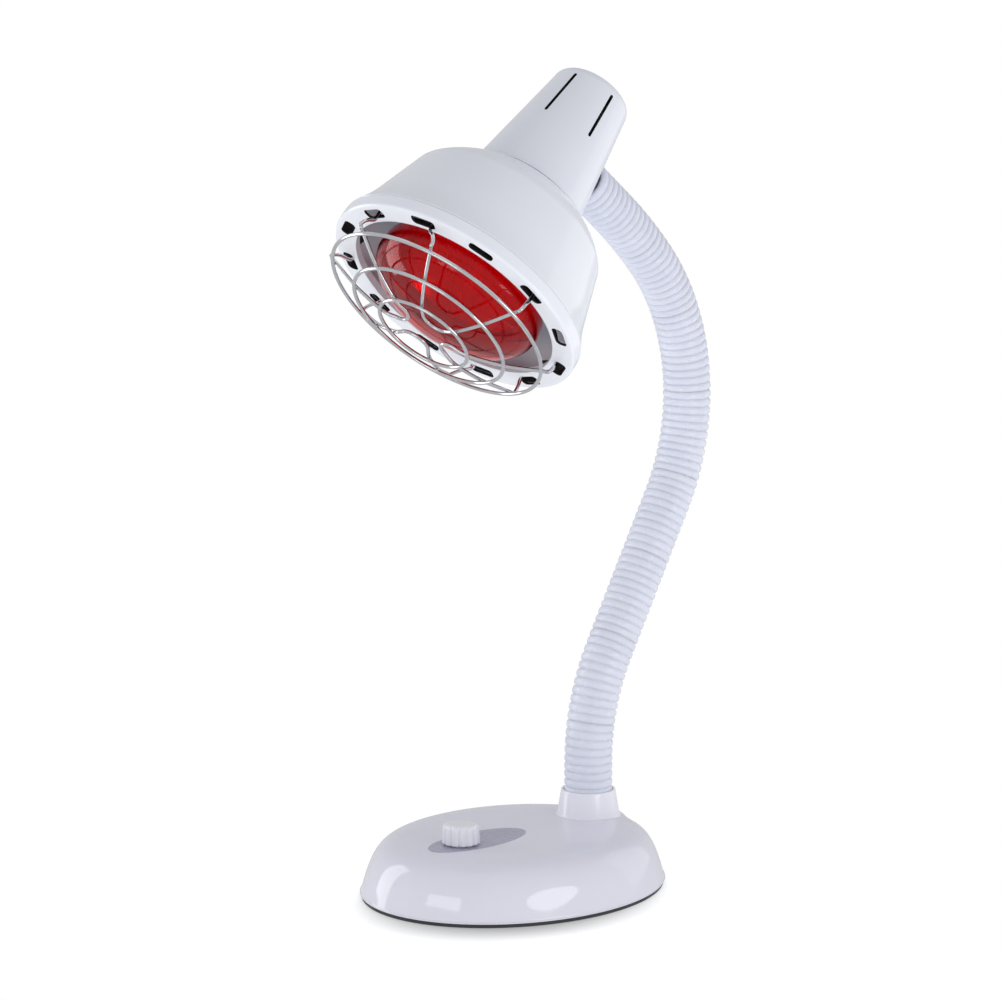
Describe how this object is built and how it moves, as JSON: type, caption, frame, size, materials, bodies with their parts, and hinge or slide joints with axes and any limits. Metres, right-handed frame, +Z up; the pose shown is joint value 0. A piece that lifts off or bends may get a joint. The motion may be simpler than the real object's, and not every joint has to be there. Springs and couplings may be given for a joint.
{
  "type": "infrared heat lamp",
  "caption": "Table infrared heat lamp: oval weighted base with dial, ribbed bendable arm, tilted bell shade with wire guard and red bulb.",
  "frame": {"origin": "centre of the oval base at the surface it stands on", "axes": "+Z up, -Y towards the front where the shade opens, X across; the arm lies in the plane X = 0"},
  "size_m": [0.1466, 0.2451, 0.4328],
  "materials": {
    "black_rubber": "matte",
    "zinc_steel": "zinc plated",
    "dark_steel": "blackened",
    "iron": "rough casting",
    "body_plastic": "smooth gloss",
    "head_paint": "smooth gloss enamel",
    "badge_finish": "satin",
    "knob_plastic": "satin gloss",
    "control_plastic": "matte",
    "board": "solder mask",
    "copper": "lacquered winding",
    "capacitor_film": "gloss",
    "heat_sink_aluminium": "plain",
    "terminal_plastic": "matte",
    "arm_steel": "satin",
    "hose_plastic": "translucent satin",
    "guard_chrome": "bright",
    "porcelain": "glazed",
    "brass": "satin",
    "red_glass": "glossy ruby, mirrored behind",
    "clear_glass": "clear",
    "tungsten": "dull"
  },
  "bodies": {
    "base": {"base_pad": "black_rubber", "base_plate": "zinc_steel", "ballast": "iron", "base_shell": "body_plastic", "case_screws": "zinc_steel", "badge_plate": "badge_finish", "control_housing": "control_plastic", "control_nut": "zinc_steel", "circuit_board": "board", "choke": "copper", "capacitor": "capacitor_film", "heat_sink": "heat_sink_aluminium", "terminal_block": "terminal_plastic", "inlet_bush": "black_rubber", "arm_bracket": "zinc_steel", "bracket_screws": "zinc_steel", "collar": "body_plastic", "foot_ferrule": "zinc_steel", "foot_nut": "zinc_steel", "arm_link_0": "arm_steel", "hose_0": "hose_plastic"},
    "knob": {"knob": "knob_plastic", "control_shaft": "zinc_steel"},
    "arm_1": {"arm_link_1": "arm_steel", "hose_1": "hose_plastic"},
    "arm_2": {"arm_link_2": "arm_steel", "hose_2": "hose_plastic"},
    "arm_3": {"arm_link_3": "arm_steel", "hose_3": "hose_plastic"},
    "arm_4": {"arm_link_4": "arm_steel", "hose_4": "hose_plastic"},
    "arm_5": {"arm_link_5": "arm_steel", "hose_5": "hose_plastic"},
    "arm_6": {"arm_link_6": "arm_steel", "hose_6": "hose_plastic"},
    "arm_7": {"arm_link_7": "arm_steel", "hose_7": "hose_plastic"},
    "head": {"arm_link_8": "arm_steel", "hose_8": "hose_plastic", "tip_ferrule": "dark_steel", "tip_nut": "zinc_steel", "neck_housing": "body_plastic", "neck_screws": "zinc_steel", "shade": "head_paint", "bezel": "head_paint", "guard_ring_outer": "guard_chrome", "guard_ring_middle": "guard_chrome", "guard_ring_inner": "guard_chrome", "guard_wires": "guard_chrome", "lampholder": "porcelain", "holder_shell": "brass", "holder_contact": "brass", "holder_strap": "zinc_steel", "holder_screws": "zinc_steel", "bulb_cap": "brass", "bulb_glass": "red_glass", "bulb_mount": "clear_glass", "bulb_filament": "tungsten"}
  },
  "joints": [
    {"name": "arm_bend_1", "type": "hinge", "parent": "base", "child": "arm_1", "pos_m": [0, 0.057, 0.05898], "axis": [1, 0, 0], "range_deg": [-20, 20], "deforming": ["hose_0", "hose_1"]},
    {"name": "arm_sway_2", "type": "hinge", "parent": "arm_1", "child": "arm_2", "pos_m": [0, 0.06636, 0.10566], "axis": [0, 0.9179, -0.3968], "range_deg": [-20, 20], "deforming": ["hose_1", "hose_2"]},
    {"name": "arm_bend_3", "type": "hinge", "parent": "arm_2", "child": "arm_3", "pos_m": [0, 0.08982, 0.14745], "axis": [1, 0, 0], "range_deg": [-20, 20], "deforming": ["hose_2", "hose_3"]},
    {"name": "arm_sway_4", "type": "hinge", "parent": "arm_3", "child": "arm_4", "pos_m": [0, 0.11401, 0.18885], "axis": [0, 0.8634, -0.5045], "range_deg": [-20, 20], "deforming": ["hose_3", "hose_4"]},
    {"name": "arm_bend_5", "type": "hinge", "parent": "arm_4", "child": "arm_5", "pos_m": [0, 0.13165, 0.2331], "axis": [1, 0, 0], "range_deg": [-20, 20], "deforming": ["hose_4", "hose_5"]},
    {"name": "arm_sway_6", "type": "hinge", "parent": "arm_5", "child": "arm_6", "pos_m": [0, 0.12959, 0.28065], "axis": [0, 0.9671, 0.2544], "range_deg": [-20, 20], "deforming": ["hose_5", "hose_6"]},
    {"name": "arm_bend_7", "type": "hinge", "parent": "arm_6", "child": "arm_7", "pos_m": [0, 0.10799, 0.32305], "axis": [1, 0, 0], "range_deg": [-20, 20], "deforming": ["hose_6", "hose_7"]},
    {"name": "arm_sway_8", "type": "hinge", "parent": "arm_7", "child": "head", "pos_m": [0, 0.07323, 0.35596], "axis": [0, 0.6148, 0.7887], "range_deg": [-20, 20], "deforming": ["hose_7", "hose_8"]},
    {"name": "knob_turn", "type": "hinge", "parent": "base", "child": "knob", "pos_m": [0, -0.039, 0.0314], "axis": [0, 0, 1], "range_deg": [-280, 0]}
  ]
}
